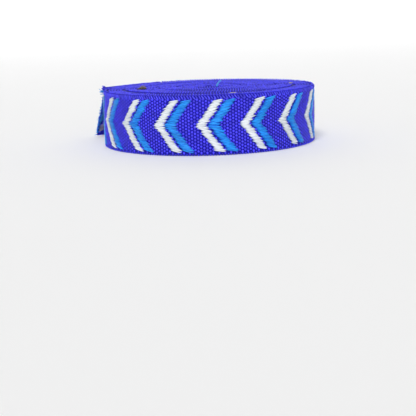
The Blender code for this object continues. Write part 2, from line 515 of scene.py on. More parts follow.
def unit_yarn(graph, length_points, girth_points, blunt):
    """A yarn's crown from -1 to 1 in length and width and 0 to 1 in height, sinking at its ends and sides.

    blunt is the power of its taper: 2 is a lens, and more keeps the width nearly to the ends.
    """
    grid = graph.node(
        "GeometryNodeMeshGrid", None,
        {"Size X": 2.0, "Size Y": 2.0, "Vertices X": length_points, "Vertices Y": girth_points},
    )
    place = graph.node("ShaderNodeSeparateXYZ", None, {0: graph.node("GeometryNodeInputPosition").outputs[0]})
    x, y = graph.value(place, 0), graph.value(place, 1)
    named = grid.outputs["Mesh"]
    for label, field in (("along", x), ("across", y)):
        store = graph.node(
            "GeometryNodeStoreNamedAttribute", {"data_type": "FLOAT", "domain": "POINT"},
            {"Geometry": named, "Name": label, "Value": field},
        )
        named = store.outputs[0]
    taper = 1.0 - 0.92 * abs(x) ** blunt
    turn = y * (0.5 * math.pi)
    side = graph.math("SINE", turn) * taper
    crown = (1.0 - abs(x) ** (blunt + 0.6)) * (1.3 * graph.math("COSINE", turn) - 0.3)
    shaped = graph.node("ShaderNodeCombineXYZ", None, {0: x, 1: side, 2: crown})
    moved = graph.node("GeometryNodeSetPosition", None, {"Geometry": named, "Position": shaped.outputs[0]})
    return moved.outputs[0]


def jitter(graph, seed, salt, spread):
    """A random number about 0 for each point."""
    node = graph.node(
        "FunctionNodeRandomValue", {"data_type": "FLOAT"}, {"Min": -1.0, "Max": 1.0, "Seed": seed + float(salt)},
    )
    return graph.value(node, "Value") * spread


def lay_yarns(graph, yarn, count, place, turn, size, seed, left_out=None):
    """The yarn at each of count places but those left out, turned about the face's normal and sized."""
    points = graph.node("GeometryNodePoints", None, {"Count": count, "Position": place})
    if left_out is not None:
        points = graph.node(
            "GeometryNodeDeleteGeometry", {"domain": "POINT"}, {"Geometry": points.outputs[0], "Selection": left_out},
        )
    spin = graph.node("ShaderNodeCombineXYZ", None, {2: turn})
    laid = graph.node(
        "GeometryNodeInstanceOnPoints", None,
        {"Points": points.outputs[0], "Instance": yarn, "Rotation": spin.outputs[0], "Scale": size},
    )
    shade = graph.node("FunctionNodeRandomValue", {"data_type": "FLOAT"}, {"Seed": seed + 91.0})
    stored = graph.node(
        "GeometryNodeStoreNamedAttribute", {"data_type": "FLOAT", "domain": "INSTANCE"},
        {"Geometry": laid.outputs[0], "Name": "thread", "Value": shade.outputs["Value"]},
    )
    return stored.outputs[0]


def ground_tree():
    """Warp crossings in staggered columns, left out under the raised threads."""
    graph, given = new_tree("Woven Ground", [
        ("Columns", "NodeSocketInt", 200),
        ("Rows", "NodeSocketInt", 18),
        ("First Place", "NodeSocketFloat", 0.0),
        ("First Height", "NodeSocketFloat", 0.0),
        ("Pick Pitch", "NodeSocketFloat", 1.3 * MM),
        ("Row Pitch", "NodeSocketFloat", 1.36 * MM),
        ("Crossing Length", "NodeSocketFloat", 1.6 * MM),
        ("Crossing Width", "NodeSocketFloat", 0.9 * MM),
        ("Crossing Height", "NodeSocketFloat", 0.3 * MM),
        ("Slant", "NodeSocketFloat", 0.0),
        ("Apex", "NodeSocketFloat", 0.0),
        ("Repeat", "NodeSocketFloat", 18.5 * MM),
        ("Slope", "NodeSocketFloat", 0.74),
        ("Apex Height", "NodeSocketFloat", 12.0 * MM),
        ("Foot", "NodeSocketFloat", 2.0 * MM),
        ("Head", "NodeSocketFloat", 23.0 * MM),
        ("White Length", "NodeSocketFloat", 4.1 * MM),
        ("Azure Start", "NodeSocketFloat", 5.3 * MM),
        ("Azure Length", "NodeSocketFloat", 4.3 * MM),
        ("Cover", "NodeSocketFloat", 0.5 * MM),
        ("Seed", "NodeSocketInt", 0),
        ("Material", "NodeSocketMaterial", None),
    ])
    index = graph.value(graph.node("GeometryNodeInputIndex"))
    rows = given["Rows"]
    column = graph.math("FLOOR", index / rows)
    row = index - column * rows
    seed = given["Seed"]
    along = given["First Place"] + column * given["Pick Pitch"] + jitter(graph, seed, 1, 0.03 * MM)
    up = given["First Height"] + (row + 0.5 * (column % 2.0)) * given["Row Pitch"] + jitter(graph, seed, 2, 0.03 * MM)
    lead = given["Slope"] * abs(up - given["Apex Height"])
    within = (along - given["Apex"] - lead) % given["Repeat"]
    cover = given["Cover"]
    under_white = (within > cover) * (within < given["White Length"] - cover)
    azure_end = given["Azure Start"] + given["Azure Length"]
    under_azure = (within > given["Azure Start"] + cover) * (within < azure_end - cover)
    covered = (under_white + under_azure) * (up > given["Foot"]) * (up < given["Head"])
    place = graph.node("ShaderNodeCombineXYZ", None, {0: along, 1: up})
    size = graph.node("ShaderNodeCombineXYZ", None, {
        0: 0.5 * given["Crossing Length"],
        1: 0.5 * given["Crossing Width"],
        2: given["Crossing Height"] * (1.0 + jitter(graph, seed, 3, 0.15)),
    })
    turn = given["Slant"] + jitter(graph, seed, 4, 0.08)
    yarn = unit_yarn(graph, 6, 5, 2.4)
    count = given["Columns"] * rows
    laid = lay_yarns(graph, yarn, count, place.outputs[0], turn, size.outputs[0], seed, covered)
    return finish_tree(graph, laid, given["Material"])


def float_tree():
    """Raised threads in chevrons: rows of two or more threads, each row beside the last.

    Beside is a thread's place in its row, arm is which way its row lies from the chevron's point, and near is 1 at
    the point, where the threads are a little wider and don't slant.
    """
    graph, given = new_tree("Raised Threads", [
        ("Repeats", "NodeSocketInt", 16),
        ("Rows", "NodeSocketInt", 16),
        ("Apex Row", "NodeSocketFloat", 7.5),
        ("Threads", "NodeSocketInt", 2),
        ("First Apex", "NodeSocketFloat", 0.0),
        ("Repeat", "NodeSocketFloat", 18.5 * MM),
        ("First Height", "NodeSocketFloat", 2.0 * MM),
        ("Row Pitch", "NodeSocketFloat", 1.36 * MM),
        ("Row Shift", "NodeSocketFloat", 1.0 * MM),
        ("Start", "NodeSocketFloat", 0.0),
        ("Thread Length", "NodeSocketFloat", 4.1 * MM),
        ("Thread Width", "NodeSocketFloat", 0.8 * MM),
        ("Thread Height", "NodeSocketFloat", 0.35 * MM),
        ("Slant", "NodeSocketFloat", 0.15),
        ("Unevenness", "NodeSocketFloat", 0.32 * MM),
        ("Seed", "NodeSocketInt", 0),
        ("Material", "NodeSocketMaterial", None),
    ])
    index = graph.value(graph.node("GeometryNodeInputIndex"))
    rows, threads, seed = given["Rows"], given["Threads"], given["Seed"]
    thread = index % threads
    row = graph.math("FLOOR", index / threads) % rows
    repeat = graph.math("FLOOR", index / (threads * rows))
    middle = given["Apex Row"]
    arm = graph.math("SIGN", row - middle)
    near = graph.math("MAXIMUM", 1.0 - abs(row - middle), 0.0)
    beside = 0.96 * ((thread + 0.5) / threads - 0.5)
    up = given["First Height"] + (row + beside) * given["Row Pitch"] + jitter(graph, seed, 1, 0.03 * MM)
    start = given["First Apex"] + repeat * given["Repeat"] + given["Start"]
    uneven = given["Unevenness"]
    inner = abs(beside * arm + 0.25)
    half = 0.5 * given["Thread Length"] + jitter(graph, seed, 2, uneven) - 0.3 * uneven * inner
    lead = (abs(row - middle) + 0.55 * beside * arm) * given["Row Shift"]
    along = start + lead + 0.5 * given["Thread Length"] + jitter(graph, seed, 3, uneven)
    place = graph.node("ShaderNodeCombineXYZ", None, {0: along, 1: up})
    size = graph.node("ShaderNodeCombineXYZ", None, {
        0: half,
        1: 0.5 * given["Thread Width"] * (1.0 + 0.2 * near + jitter(graph, seed, 4, 0.08)),
        2: given["Thread Height"] * (1.0 + jitter(graph, seed, 5, 0.12)),
    })
    steady = graph.math("MINIMUM", 0.5 * abs(row - middle), 1.0)
    turn = given["Slant"] * arm * steady + jitter(graph, seed, 6, 0.05)
    yarn = unit_yarn(graph, 9, 6, 3.6)
    count = given["Repeats"] * rows * threads
    laid = lay_yarns(graph, yarn, count, place.outputs[0], turn, size.outputs[0], seed)
    return finish_tree(graph, laid, given["Material"])


def edge_tree():
    """The weft's loops over the tape's edge, one for each pick along the whole wound length."""
    graph, given = new_tree("Selvedge Loops", [
        ("Loops", "NodeSocketInt", 3900),
        ("First Place", "NodeSocketFloat", 0.0),
        ("Pick Pitch", "NodeSocketFloat", 1.3 * MM),
        ("Loop Length", "NodeSocketFloat", 1.5 * MM),
        ("Loop Width", "NodeSocketFloat", 0.9 * MM),
        ("Loop Height", "NodeSocketFloat", 0.4 * MM),
        ("Slant", "NodeSocketFloat", 1.2),
        ("Length Points", "NodeSocketInt", 5),
        ("Girth Points", "NodeSocketInt", 4),
        ("Seed", "NodeSocketInt", 0),
        ("Material", "NodeSocketMaterial", None),
    ])
    index = graph.value(graph.node("GeometryNodeInputIndex"))
    seed = given["Seed"]
    along = given["First Place"] + (index + 0.5) * given["Pick Pitch"] + jitter(graph, seed, 1, 0.05 * MM)
    place = graph.node("ShaderNodeCombineXYZ", None, {0: along, 1: jitter(graph, seed, 2, 0.05 * MM)})
    size = graph.node("ShaderNodeCombineXYZ", None, {
        0: 0.5 * given["Loop Length"],
        1: 0.5 * given["Loop Width"] * (1.0 + jitter(graph, seed, 3, 0.1)),
        2: given["Loop Height"] * (1.0 + jitter(graph, seed, 4, 0.2)),
    })
    turn = given["Slant"] + jitter(graph, seed, 5, 0.12)
    yarn = unit_yarn(graph, given["Length Points"], given["Girth Points"], 2.6)
    laid = lay_yarns(graph, yarn, given["Loops"], place.outputs[0], turn, size.outputs[0], seed)
    return finish_tree(graph, laid, given["Material"])


def random_vector(graph, seed, salt, spread):
    """A random vector for each point, up to spread either way on each axis."""
    drawn = graph.node(
        "FunctionNodeRandomValue", {"data_type": "FLOAT_VECTOR"},
        {"Min": (-1.0, -1.0, -1.0), "Max": (1.0, 1.0, 1.0), "Seed": seed + float(salt)},
    )
    return graph.node("ShaderNodeVectorMath", {"operation": "MULTIPLY"}, {0: drawn.outputs["Value"], 1: spread})


def fibre_tree():
    """Short bent fibres scattered along a line."""
    graph, given = new_tree("Loose Fibres", [
        ("Count", "NodeSocketInt", 40),
        ("Start", "NodeSocketVector", (0.0, 0.0, 0.0)),
        ("End", "NodeSocketVector", (0.0, 0.0, 0.0)),
        ("Scatter", "NodeSocketVector", (0.0, 0.0, 0.0)),
        ("Turn", "NodeSocketVector", (0.0, 0.0, 0.0)),
        ("Spread", "NodeSocketVector", (0.0, 0.0, 0.0)),
        ("Fibre Length", "NodeSocketFloat", 1.0 * MM),
        ("Fibre Radius", "NodeSocketFloat", 0.1 * MM),
        ("Bend", "NodeSocketFloat", 0.3),
        ("Seed", "NodeSocketInt", 0),
        ("Material", "NodeSocketMaterial", None),
    ])
    seed, bend = given["Seed"], given["Bend"]
    middle = graph.node("ShaderNodeCombineXYZ", None, {0: 0.5, 1: bend, 2: 0.4 * bend})
    curve = graph.node(
        "GeometryNodeCurveQuadraticBezier", None,
        {"Resolution": 6, "Start": (0.0, 0.0, 0.0), "Middle": middle.outputs[0], "End": (1.0, 0.0, 0.0)},
    )
    thin = given["Fibre Radius"] / given["Fibre Length"]
    section = graph.node("GeometryNodeCurvePrimitiveCircle", None, {"Resolution": 5, "Radius": thin})
    fibre = graph.node(
        "GeometryNodeCurveToMesh", None,
        {"Curve": curve.outputs[0], "Profile Curve": section.outputs[0], "Fill Caps": True},
    )
    index = graph.value(graph.node("GeometryNodeInputIndex"))
    share = (index + 0.5) / given["Count"]
    between = graph.node(
        "ShaderNodeMix", {"data_type": "VECTOR"}, {0: share, 4: given["Start"], 5: given["End"]},
    )
    moved = random_vector(graph, seed, 1, given["Scatter"])
    place = graph.node(
        "ShaderNodeVectorMath", {"operation": "ADD"}, {0: between.outputs[1], 1: moved.outputs[0]},
    )
    drawn = random_vector(graph, seed, 2, given["Spread"])
    turn = graph.node("ShaderNodeVectorMath", {"operation": "ADD"}, {0: given["Turn"], 1: drawn.outputs[0]})
    points = graph.node("GeometryNodePoints", None, {"Count": given["Count"], "Position": place.outputs[0]})
    size = given["Fibre Length"] * (1.0 + jitter(graph, seed, 3, 0.35))
    laid = graph.node("GeometryNodeInstanceOnPoints", None, {
        "Points": points.outputs[0], "Instance": fibre.outputs[0], "Rotation": turn.outputs[0], "Scale": size,
    })
    return finish_tree(graph, laid.outputs[0], given["Material"])


def new_material(name, roughness, sheen=0.03):
    material = bpy.data.materials.new(name)
    material.use_nodes = True
    graph = Graph(material.node_tree)
    shader = material.node_tree.nodes["Principled BSDF"]
    shader.inputs["Roughness"].default_value = roughness
    shader.inputs["Specular IOR Level"].default_value = 0.3
    shader.inputs["Sheen Weight"].default_value = sheen
    shader.inputs["Sheen Roughness"].default_value = 0.5
    return material, graph, shader


def yarn_material(name, crown, painted_shade, roughness, filaments, relief, spread, streaks, fringe):
    """A yarn of fine filaments with painted shade: its colour goes from the lit crown colour to the painted shade
    colour towards its sides and ends, and each one is a little lighter or darker.

    spread is that difference between yarns, streaks the lighter and darker streaks along a yarn's filaments, partly
    its uneven tone and partly painted satin highlights, and fringe how far the painted shade of the hollows comes up
    its sides.
    """
    material, graph, shader = new_material(name, roughness)
    across = Value(graph, graph.attribute("across"))
    along = Value(graph, graph.attribute("along"))
    thread = Value(graph, graph.attribute("thread"))
    # Painted shade: the yarn's shape falls off towards its sides and ends, and its colour goes over to the painted
    # shade with it
    height = (1.0 - abs(across) ** 1.7) * (1.0 - 0.9 * abs(along) ** 4.0)
    strand_place = graph.node("ShaderNodeCombineXYZ", None, {0: 0.7 * along, 1: 2.4 * across, 2: 37.0 * thread})
    strands = graph.node("ShaderNodeTexNoise", None, {"Vector": strand_place.outputs[0], "Scale": 1.6, "Detail": 2.0})
    coordinates = graph.node("ShaderNodeTexCoord").outputs["Object"]
    fuzz = graph.node("ShaderNodeTexNoise", None, {"Vector": coordinates, "Scale": 2600.0, "Detail": 3.0})
    wash = graph.node("ShaderNodeTexNoise", None, {"Vector": coordinates, "Scale": 55.0, "Detail": 2.0})
    # Streaks along the filaments: partly the yarn's uneven tone, partly painted satin highlights
    streaked = height * (1.0 + streaks * (2.0 * graph.value(strands) - 1.0))
    lit = 1.15 * (streaked + 0.25 * (graph.value(fuzz) - 0.5) - fringe)
    clear = graph.math("MINIMUM", graph.math("MAXIMUM", lit, 0.0), 1.0)
    # From the painted shade colour in the hollows to the lit crown colour
    base = graph.mix(clear, tuple(painted_shade), tuple(crown))
    tone = 1.0 + spread * (2.0 * thread - 1.0) + 0.14 * (2.0 * graph.value(wash) - 1.0)
    toned = graph.node(
        "ShaderNodeVectorMath", {"operation": "SCALE"}, {0: base, "Scale": tone},
    )
    graph.feed(shader.inputs["Base Color"], toned.outputs[0])
    graph.feed(shader.inputs["Roughness"], roughness + 0.22 * (graph.value(fuzz) - 0.5))
    strand = graph.math("SINE", (across + 0.12 * along) * (math.pi * filaments))
    bump = graph.node(
        "ShaderNodeBump", None,
        {"Strength": relief, "Distance": 0.06 * MM, "Height": 0.5 * strand + 0.6 * graph.value(fuzz)},
    )
    graph.feed(shader.inputs["Normal"], bump.outputs[0])
    return material


def cloth_material(name, light, dark, roughness):
    """The woven cloth under the separate yarns: a fine plain weave in the hollows, dark with painted shade for the
    shade between the yarns and in the gaps between turns.
    """
    material, graph, shader = new_material(name, roughness)
    coordinates = graph.node("ShaderNodeTexCoord").outputs["Object"]
    grain = graph.node("ShaderNodeTexNoise", None, {"Vector": coordinates, "Scale": 1500.0, "Detail": 4.0})
    wash = graph.node("ShaderNodeTexNoise", None, {"Vector": coordinates, "Scale": 90.0, "Detail": 2.0})
    shade = 0.6 * graph.value(grain) + 0.4 * graph.value(wash)
    graph.feed(shader.inputs["Base Color"], graph.mix(shade, tuple(dark), tuple(light)))
    graph.feed(shader.inputs["Roughness"], roughness + 0.2 * (graph.value(grain) - 0.5))
    bump = graph.node(
        "ShaderNodeBump", None, {"Strength": 0.6, "Distance": 0.08 * MM, "Height": graph.value(grain)},
    )
    graph.feed(shader.inputs["Normal"], bump.outputs[0])
    return material


def materials():
    """All the finishes by name, made once."""
    tints = bpy.context.scene.webbing_colours
    painted_shade_blue = tints.painted_shade_blue
    if "ground_yarn" not in bpy.data.materials:
        # The dark cloth under the yarns is painted shade: darker copies of the painted shade blue
        cloth_material("deep_cloth", [0.75 * part for part in painted_shade_blue], [0.45 * part for part in painted_shade_blue], 0.75)
        # Each finish is its roughness, filaments, relief, spread, streaks and fringe. Each row's second colour is the
        # painted shade that the yarn takes towards its sides and ends
        for name, crown, painted_shade, finish in (
            ("ground_yarn", tints.ground, painted_shade_blue, (0.4, 3.0, 0.4, 0.25, 1.0, 0.15)),
            # Painted sheen: the edge yarn's paler, greyer blue stands for the haze of grazing light on the top
            ("edge_yarn", tints.edge, painted_shade_blue, (0.6, 3.0, 0.4, 0.25, 0.9, 0.24)),
            ("white_yarn", tints.white, tints.white_painted_shade, (0.45, 4.0, 0.6, 0.06, 1.2, 0.0)),
            ("azure_yarn", tints.azure, tints.azure_painted_shade, (0.42, 4.0, 0.6, 0.12, 2.6, 0.25)),
            # Painted shade: the reverse side's white and azure, darkened for the shade it lies in
            ("white_back", tints.white_back, painted_shade_blue, (0.6, 4.0, 0.6, 0.2, 1.0, 0.0)),
            ("azure_back", tints.azure_back, painted_shade_blue, (0.6, 4.0, 0.6, 0.2, 1.0, 0.0)),
            ("lint", tints.lint, tints.azure_painted_shade, (0.9, 1.0, 0.2, 0.5, 0.3, -0.3)),
            # Painted shade: the lint's foot in its shaded colour
            ("dark_lint", tints.lint_shade, painted_shade_blue, (0.9, 1.0, 0.2, 0.5, 0.3, -0.3)),
            ("cream_lint", tints.cream, tints.lint, (0.8, 1.0, 0.2, 0.1, 0.1, -0.3)),
        ):
            yarn_material(name, crown, painted_shade, *finish)
    return bpy.data.materials


def tape_sizes():
    return bpy.context.scene.webbing_tape


def weave_sizes():
    return bpy.context.scene.webbing_weave


def dress(piece):
    """Every piece rides on the one body."""
    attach(piece, "root")


def spiral_line(tape, turns_in, inset, below):
    """Points of a line that runs along the wound turns, inset from their outside and below the tape's edge.

    The outer turn follows its stand-off whole, and the gap inside it by half, less and less over one more turn.
    """
    angle = tape.leave - math.tau * turns_in
    loose = np.clip(2.0 - turns_in, 0.0, 1.0) * np.where(turns_in < 1.0, 1.0, 0.5 * (inset == 0.0))
    radius = outer_radius(tape, turns_in) - inset + loose * stand_off(tape, angle, tape.width)
    radius -= gap_opening(turns_in) * (inset > 0.0)
    level = tape.width + group_rise(turns_in) + slow_wave(angle, turns_in) - below
    return np.stack([radius * np.cos(angle), radius * np.sin(angle), level], axis=1)


def wound_body(tape, columns=120):
    """The wound tape under its yarns: one closed spiral body, its turns ridged on the top and the underside."""
    steps = int(turn_count(tape) * columns)
    turns_in = np.arange(steps + 1) / columns
    count = steps + 1
    gap = spiral_line(tape, turns_in, 0.0, GAP_DROP + gap_depth(np.round(turns_in), 1.0 - turns_in % 1.0))
    angle = tape.leave - math.tau * turns_in
    rim = slice(0, columns + 1)
    whole = outer_radius(tape, turns_in[rim]) - HOLLOW + stand_off(tape, angle[rim], tape.width)
    gap[rim] = np.stack([
        whole * np.cos(angle[rim]), whole * np.sin(angle[rim]), np.full(columns + 1, tape.width - RIM_DROP),
    ], axis=1)
    shoulders = [spiral_line(tape, turns_in, share * tape.turn_pitch, SHOULDER_DROP) for share in SHOULDERS]
    inner = spiral_line(tape, turns_in, tape.turn_pitch, CORE_DROP)[-columns:]
    eye = np.array([[0.0, 0.0, tape.width - EYE_DROP]])
    top = np.concatenate([gap, *shoulders, inner, eye])
    bottom = top.copy()
    bottom[:, 2] = np.maximum(tape.width - bottom[:, 2], BODY_CLEARANCE)
    foot = outer_radius(tape, turns_in[rim]) - HOLLOW + stand_off(tape, angle[rim], 0.0)
    bottom[rim, 0] = foot * np.cos(angle[rim])
    bottom[rim, 1] = foot * np.sin(angle[rim])
    total = len(top)
    first_inner = 3 * count
    last = first_inner + columns
    faces = []

    def both(*corners):
        faces.append(corners)
        faces.append(tuple(total + corner for corner in reversed(corners)))

    for i in range(steps):
        both(i + 1, i, count + i, count + i + 1)
        both(count + i + 1, count + i, 2 * count + i, 2 * count + i + 1)
        if i + 1 + columns < count:
            both(2 * count + i + 1, 2 * count + i, i + columns, i + columns + 1)
        elif i + columns >= count:
            j = first_inner + i + columns - count
            both(2 * count + i + 1, 2 * count + i, j, j + 1)
            both(j + 1, j, last)
    for i in range(columns):
        faces.append((i, i + 1, total + i + 1, total + i))
    return np.concatenate([top, bottom]), faces


class WEBBING_OT_stage(bpy.types.Operator):
    """Sets the camera, the soft light and the pale floor"""

    bl_idname = "webbing.stage"
    bl_label = "Stage"

    def execute(self, context):
        scene = context.scene
        camera_data = bpy.data.cameras.new("camera")
        camera_data.sensor_width = SENSOR_MM
        camera_data.lens = FOCAL_PIXELS / PHOTO_PIXELS * SENSOR_MM
        camera_data.clip_start = 0.01
        camera = bpy.data.objects.new("camera", camera_data)
        scene.collection.objects.link(camera)
        forward = Vector((0.0, math.cos(CAMERA_PITCH), -math.sin(CAMERA_PITCH)))
        level_up = Vector((0.0, math.sin(CAMERA_PITCH), math.cos(CAMERA_PITCH)))
        level_right = Vector((1.0, 0.0, 0.0))
        right = math.cos(CAMERA_ROLL) * level_right + math.sin(CAMERA_ROLL) * level_up
        up = math.cos(CAMERA_ROLL) * level_up - math.sin(CAMERA_ROLL) * level_right
        turned = Matrix((right, up, -forward)).transposed().to_4x4()
        camera.matrix_world = Matrix.Translation(CAMERA_PLACE) @ turned
        scene.camera = camera

        world = bpy.data.worlds.new("studio")
        world.use_nodes = True
        sky = world.node_tree.nodes["Background"]
        sky.inputs["Color"].default_value = (1.0, 1.0, 1.0, 1.0)
        sky.inputs["Strength"].default_value = SKY_STRENGTH
        scene.world = world
        scene.view_settings.view_transform = "Standard"

        for row in LAMPS:
            light = bpy.data.lights.new(row["name"], "SUN")
            light.angle = row["softness"]
            light.energy = row["strength"]
            lamp = bpy.data.objects.new(row["name"], light)
            scene.collection.objects.link(lamp)
            lamp.location = row["place"]
            lamp.rotation_euler = (-Vector(row["place"])).to_track_quat("-Z", "Y").to_euler()

        material, graph, shader = new_material("floor", 0.8, 0.0)
        coordinates = graph.node("ShaderNodeTexCoord").outputs["Object"]
        cloudy = graph.node("ShaderNodeTexNoise", None, {"Vector": coordinates, "Scale": 4.0, "Detail": 3.0})
        tint = scene.webbing_colours.floor
        darker = [0.98 * part for part in tint[:3]] + [1.0]
        graph.feed(shader.inputs["Base Color"], graph.mix(graph.value(cloudy), tuple(darker), tuple(tint)))
        line = [(FLOOR_FRONT, 0.0), (SWEEP_START, 0.0)]
        for step in range(1, SWEEP_STEPS + 1):
            bend = 0.5 * math.pi * step / SWEEP_STEPS
            line.append((SWEEP_START + SWEEP_RADIUS * math.sin(bend), SWEEP_RADIUS * (1.0 - math.cos(bend))))
        line.append((SWEEP_START + SWEEP_RADIUS, SWEEP_TOP))
        corners = [(side * FLOOR_HALF, y, z) for y, z in line for side in (-1.0, 1.0)]
        faces = [(2 * i, 2 * i + 1, 2 * i + 3, 2 * i + 2) for i in range(len(line) - 1)]
        floor = add_object("floor", plain_mesh("floor", corners, faces, material))
        return {"FINISHED"}


class WEBBING_OT_wound_turns(bpy.types.Operator):
    """Builds the wound tape under its yarns, with the gaps between its turns"""

    bl_idname = "webbing.wound_turns"
    bl_label = "Wound Turns"

    def execute(self, context):
        points, faces = wound_body(tape_sizes())
        # The body's dark cloth is painted shade in the gaps between the turns and between the loops
        piece = add_object("wound_turns", plain_mesh("wound_turns", points, faces, materials()["deep_cloth"]))
        dress(piece)
        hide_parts(ROLL_NODE)
        return {"FINISHED"}


def lay_on_tape(piece, tape, out_of_face, first, last, reverse):
    """Lays a flat pattern round the roll and along the loose end, its places kept between first and last."""
    mesh = piece.data
    flat = points_of(mesh)
    along, up, out = np.clip(flat[:, 0], first, last), flat[:, 1], flat[:, 2] + out_of_face
    if reverse:
        up = tape.width - up
        out = -tape.ground - out
    move_points(mesh, on_tape(tape, along, up, out))


def repeat_length(tape, weave):
    return tape.radius * weave.repeat_angle


def row_pitch(weave):
    return (weave.float_head - weave.float_foot) / weave.float_rows


def pattern(tape, weave):
    """What the ground leaves out under the raised threads."""
    margin = 0.1 * MM
    return {
        "Apex": tape.radius * weave.apex_angle,
        "Repeat": repeat_length(tape, weave),
        "Slope": weave.shift / row_pitch(weave),
        "Apex Height": weave.float_foot + (weave.apex_row + 0.5) * row_pitch(weave),
        "Foot": weave.float_foot - margin,
        "Head": weave.float_head + margin,
        "White Length": weave.white,
        "Azure Start": weave.white + weave.between,
        "Azure Length": weave.azure,
    }


def lay_ground(name, tape, weave, first, last, reverse):
    """The woven ground between two places along the tape."""
    pitch = repeat_length(tape, weave) / weave.picks
    row = row_pitch(weave)
    columns = int((last - first) / pitch)
    piece = grow(name, bpy.data.node_groups.get("Woven Ground") or ground_tree(), {
        **pattern(tape, weave),
        "Columns": columns,
        "Rows": weave.ground_rows,
        "First Place": first + 0.5 * pitch,
        "First Height": weave.float_foot - 0.3 * row,
        "Pick Pitch": pitch,
        "Row Pitch": row,
        "Crossing Length": weave.crossing_length * pitch,
        "Crossing Width": weave.crossing_width * row,
        "Crossing Height": weave.crossing_height,
        "Slant": weave.crossing_slant,
        "Seed": weave.seed,
        "Material": materials()["ground_yarn"],
    })
    lay_on_tape(piece, tape, -HOLLOW, first, last, reverse)
    dress(piece)
    return piece


class WEBBING_OT_ground(bpy.types.Operator):
    """Weaves the blue ground round the roll's outer turn"""

    bl_idname = "webbing.ground"
    bl_label = "Woven Ground"

    def execute(self, context):
        tape, weave = tape_sizes(), weave_sizes()
        lay_ground("ground_weave", tape, weave, step_place(tape), leave_place(tape), False)
        return {"FINISHED"}


def lay_floats(name, tape, weave, tint, first_repeat, repeats, slot, reverse=False):
    """White or azure threads of some chevrons."""
    start, length_of = {
        "white": (0.0, weave.white),
        "azure": (weave.white + weave.between, weave.azure),
    }[tint]
    pitch = row_pitch(weave)
    piece = grow(name, bpy.data.node_groups.get("Raised Threads") or float_tree(), {
        "Repeats": repeats,
        "Rows": weave.float_rows,
        "Apex Row": weave.apex_row,
        "Threads": weave.threads,
        "First Apex": tape.radius * weave.apex_angle + first_repeat * repeat_length(tape, weave),
        "Repeat": repeat_length(tape, weave),
        "First Height": weave.float_foot + 0.5 * pitch,
        "Row Pitch": pitch,
        "Row Shift": weave.shift,
        "Start": start,
        "Thread Length": length_of + weave.tuck,
        "Thread Width": weave.thread_width * pitch / weave.threads,
        "Thread Height": weave.thread_height,
        "Slant": weave.slant,
        "Seed": weave.seed + first_repeat + len(tint) * repeats,
        # On the reverse side the darkened _back finishes are painted shade
        "Material": materials()[tint + ("_back" if reverse else "_yarn")],
    })
    lay_on_tape(piece, tape, -weave.thread_sink, step_place(tape), cut_place(tape), reverse)
    dress(piece)
    return piece


class WEBBING_OT_floats(bpy.types.Operator):
    """Lays the white and azure chevrons round the roll's outer turn"""

    bl_idname = "webbing.floats"
    bl_label = "Chevrons"

    def execute(self, context):
        tape, weave = tape_sizes(), weave_sizes()
        for tint in ("white", "azure"):
            lay_floats(tint + "_chevrons", tape, weave, tint, *ROLL_REPEATS, ROLL_SLOT)
        return {"FINISHED"}


def grow_loops(name, weave, loops, first, pitch, reach, width, slant, points, tint, seed):
    """The weft's loops over an edge, reach long across it and width wide as a share of their pitch.

    Returns the piece and its flat points.
    """
    piece = grow(name, bpy.data.node_groups.get("Selvedge Loops") or edge_tree(), {
        "Loops": loops,
        "First Place": first,
        "Pick Pitch": pitch,
        "Loop Length": reach / math.sin(slant),
        "Loop Width": width * pitch * math.sin(slant),
        "Loop Height": weave.loop_height,
        "Slant": slant,
        "Length Points": points[0],
        "Girth Points": points[1],
        "Seed": weave.seed + seed,
        "Material": materials()[tint],
    })
    return piece, points_of(piece.data)


def lay_rim(name, tape, weave, first, last, foot):
    """Two tiers of loops at the outer turn's or the loose end's own edge: on its face and over the edge."""
    pitch = repeat_length(tape, weave) / weave.picks
    margin = weave.float_foot - weave.foot_margin if foot else tape.width - weave.float_head
    over = 0.25 * math.pi * tape.ground
    lowest = 0.5 * tape.ground - margin - over
    parting = RIM_PARTING * over
    loops = int((last - first) / pitch)
    pieces = []
    for salt, (tier, start, end) in enumerate((("face", lowest, parting), ("edge", parting, over))):
        piece, flat = grow_loops(
            name + "_" + tier, weave, loops, first, pitch, end - start, weave.rim_width, weave.loop_slant, (9, 6),
            "edge_yarn", 30 + 2 * foot + salt,
        )
        up, out = over_edge(tape, flat[:, 1] + 0.5 * (start + end), flat[:, 2] - weave.rim_sink)
        if foot:
            up = np.maximum(tape.width - up, YARN_CLEARANCE)
        move_points(piece.data, on_tape(tape, np.clip(flat[:, 0], first, last), up, out))
        dress(piece)
        pieces.append(piece)
    return pieces


def lay_edges(name, tape, weave, underside):
    """The weft's loops over one edge of every wound turn inside the outer one."""
    pitch = math.tau * tape.turn_pitch / weave.loops_lost
    first = math.tau * (tape.radius + tape.turn_pitch * (front_share(tape) - 0.5))
    loops = int((wound_length(tape) - first) / pitch)
    points = (4, 4) if underside else (6, 5)
    reach = WOUND_REACH * 0.5 * math.pi * tape.ground
    seed = 50 if underside else 40
    piece, flat = grow_loops(
        name, weave, loops, first, pitch, reach, weave.wound_width, weave.wound_slant, points, "edge_yarn", seed,
    )
    up, out = over_edge(tape, flat[:, 1], flat[:, 2] - weave.wound_sink)
    turns_in = wound_turns_in(tape, flat[:, 0])
    swing = weave.drift * pitch * np.sin(math.tau * turns_in / weave.drift_turns)
    turns_in = wound_turns_in(tape, np.clip(flat[:, 0] + swing, 0.0, wound_length(tape)))
    angle = tape.leave - math.tau * turns_in
    slack = 0.5 * (tape.turn_pitch - tape.ground)
    radius = outer_radius(tape, turns_in) - slack + out - gap_opening(turns_in)
    height = up + group_rise(turns_in) + slow_wave(angle, turns_in)
    if underside:
        height = np.maximum(tape.width - up, YARN_CLEARANCE)
    move_points(piece.data, np.stack([radius * np.cos(angle), radius * np.sin(angle), height], axis=1))
    dress(piece)
    return piece


